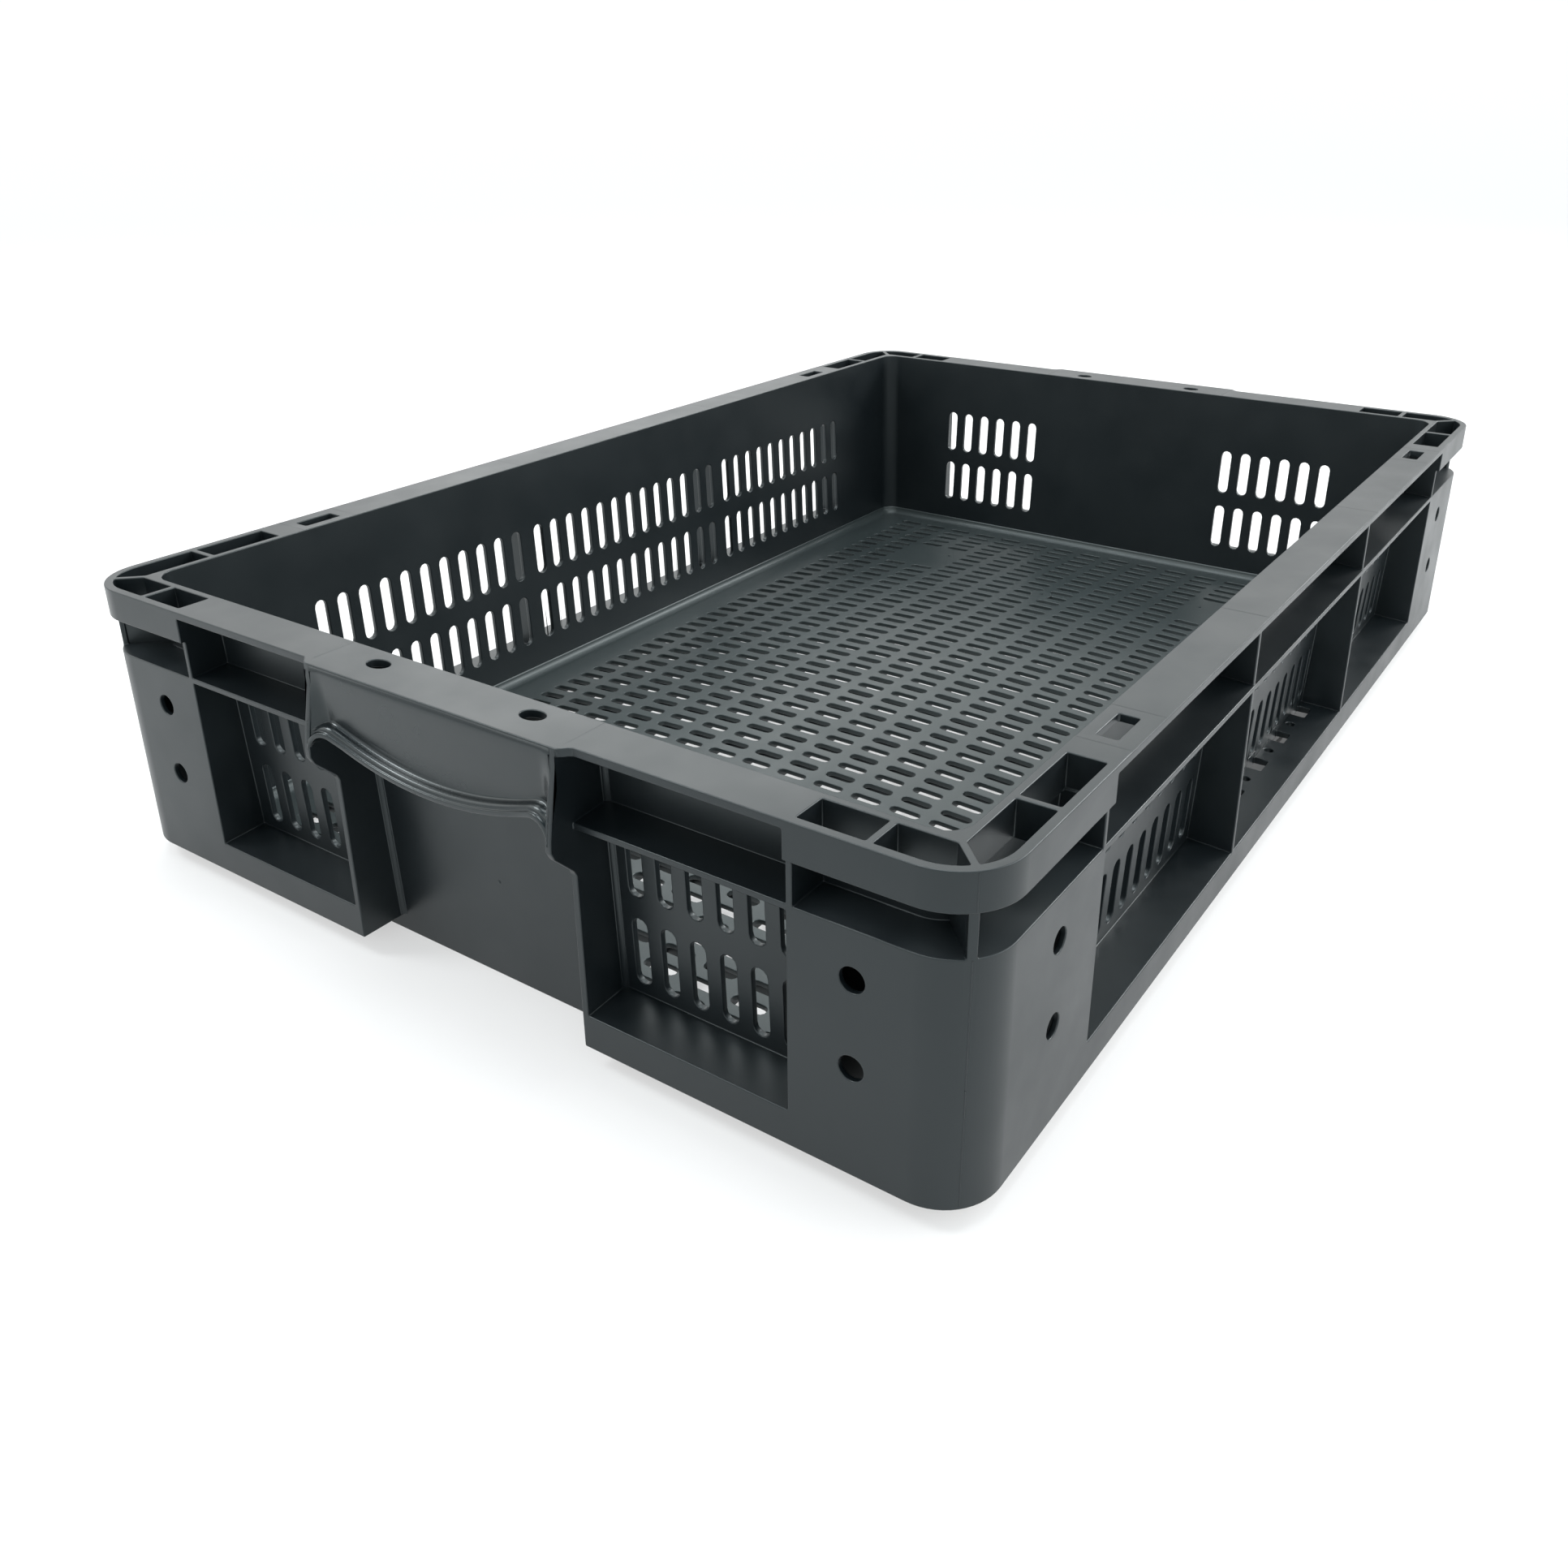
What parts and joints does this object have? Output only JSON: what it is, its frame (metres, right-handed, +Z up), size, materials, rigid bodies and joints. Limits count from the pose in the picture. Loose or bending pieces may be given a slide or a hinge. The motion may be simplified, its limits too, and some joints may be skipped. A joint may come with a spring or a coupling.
{
  "type": "ventilated stacking crate",
  "caption": "Shallow rigid ventilated stacking crate with a bowed slotted floor, slotted double walls, pocketed rim corners and a moulded hand hold at each short end.",
  "frame": {"origin": "on the floor that the crate stands on, under the middle of its outline", "axes": "+X along the length, +Y across the width, +Z up"},
  "size_m": [0.617, 0.4, 0.12],
  "materials": {
    "crate_plastic": "dark slate grey polypropylene, satin as moulded, with faint flow marks and handling scuffs",
    "fascia_plastic": "the same dark slate grey polypropylene where the tool is polished and hands rub, on the rolled lip of the hand hold"
  },
  "bodies": {
    "root": {"floor_panel": "crate_plastic", "underside_ribs": "crate_plastic", "end_wall_left": "crate_plastic", "end_wall_right": "crate_plastic", "side_wall_front": "crate_plastic", "side_wall_rear": "crate_plastic", "wall_corner_front_left": "crate_plastic", "wall_corner_front_right": "crate_plastic", "wall_corner_rear_left": "crate_plastic", "wall_corner_rear_right": "crate_plastic", "rim_corner_front_left": "crate_plastic", "rim_corner_front_right": "crate_plastic", "rim_corner_rear_left": "crate_plastic", "rim_corner_rear_right": "crate_plastic", "rim_rail_left": "crate_plastic", "rim_rail_right": "crate_plastic", "rim_rail_front": "crate_plastic", "rim_rail_rear": "crate_plastic", "corner_post_front_left": "crate_plastic", "corner_post_front_right": "crate_plastic", "corner_post_rear_left": "crate_plastic", "corner_post_rear_right": "crate_plastic", "end_ledge_front_left": "crate_plastic", "end_ledge_front_right": "crate_plastic", "end_ledge_rear_left": "crate_plastic", "end_ledge_rear_right": "crate_plastic", "side_ledge_front": "crate_plastic", "side_ledge_rear": "crate_plastic", "end_stringer_front_left": "crate_plastic", "end_stringer_front_right": "crate_plastic", "end_stringer_rear_left": "crate_plastic", "end_stringer_rear_right": "crate_plastic", "side_stringer_front_left": "crate_plastic", "side_stringer_front_middle": "crate_plastic", "side_stringer_front_right": "crate_plastic", "side_stringer_rear_left": "crate_plastic", "side_stringer_rear_middle": "crate_plastic", "side_stringer_rear_right": "crate_plastic", "side_fin_front_left": "crate_plastic", "side_fin_front_right": "crate_plastic", "side_fin_rear_left": "crate_plastic", "side_fin_rear_right": "crate_plastic", "handle_cheek_front_left": "crate_plastic", "handle_cheek_front_right": "crate_plastic", "handle_cheek_rear_left": "crate_plastic", "handle_cheek_rear_right": "crate_plastic", "handle_fascia_left": "fascia_plastic", "handle_fascia_right": "fascia_plastic"}
  },
  "joints": []
}
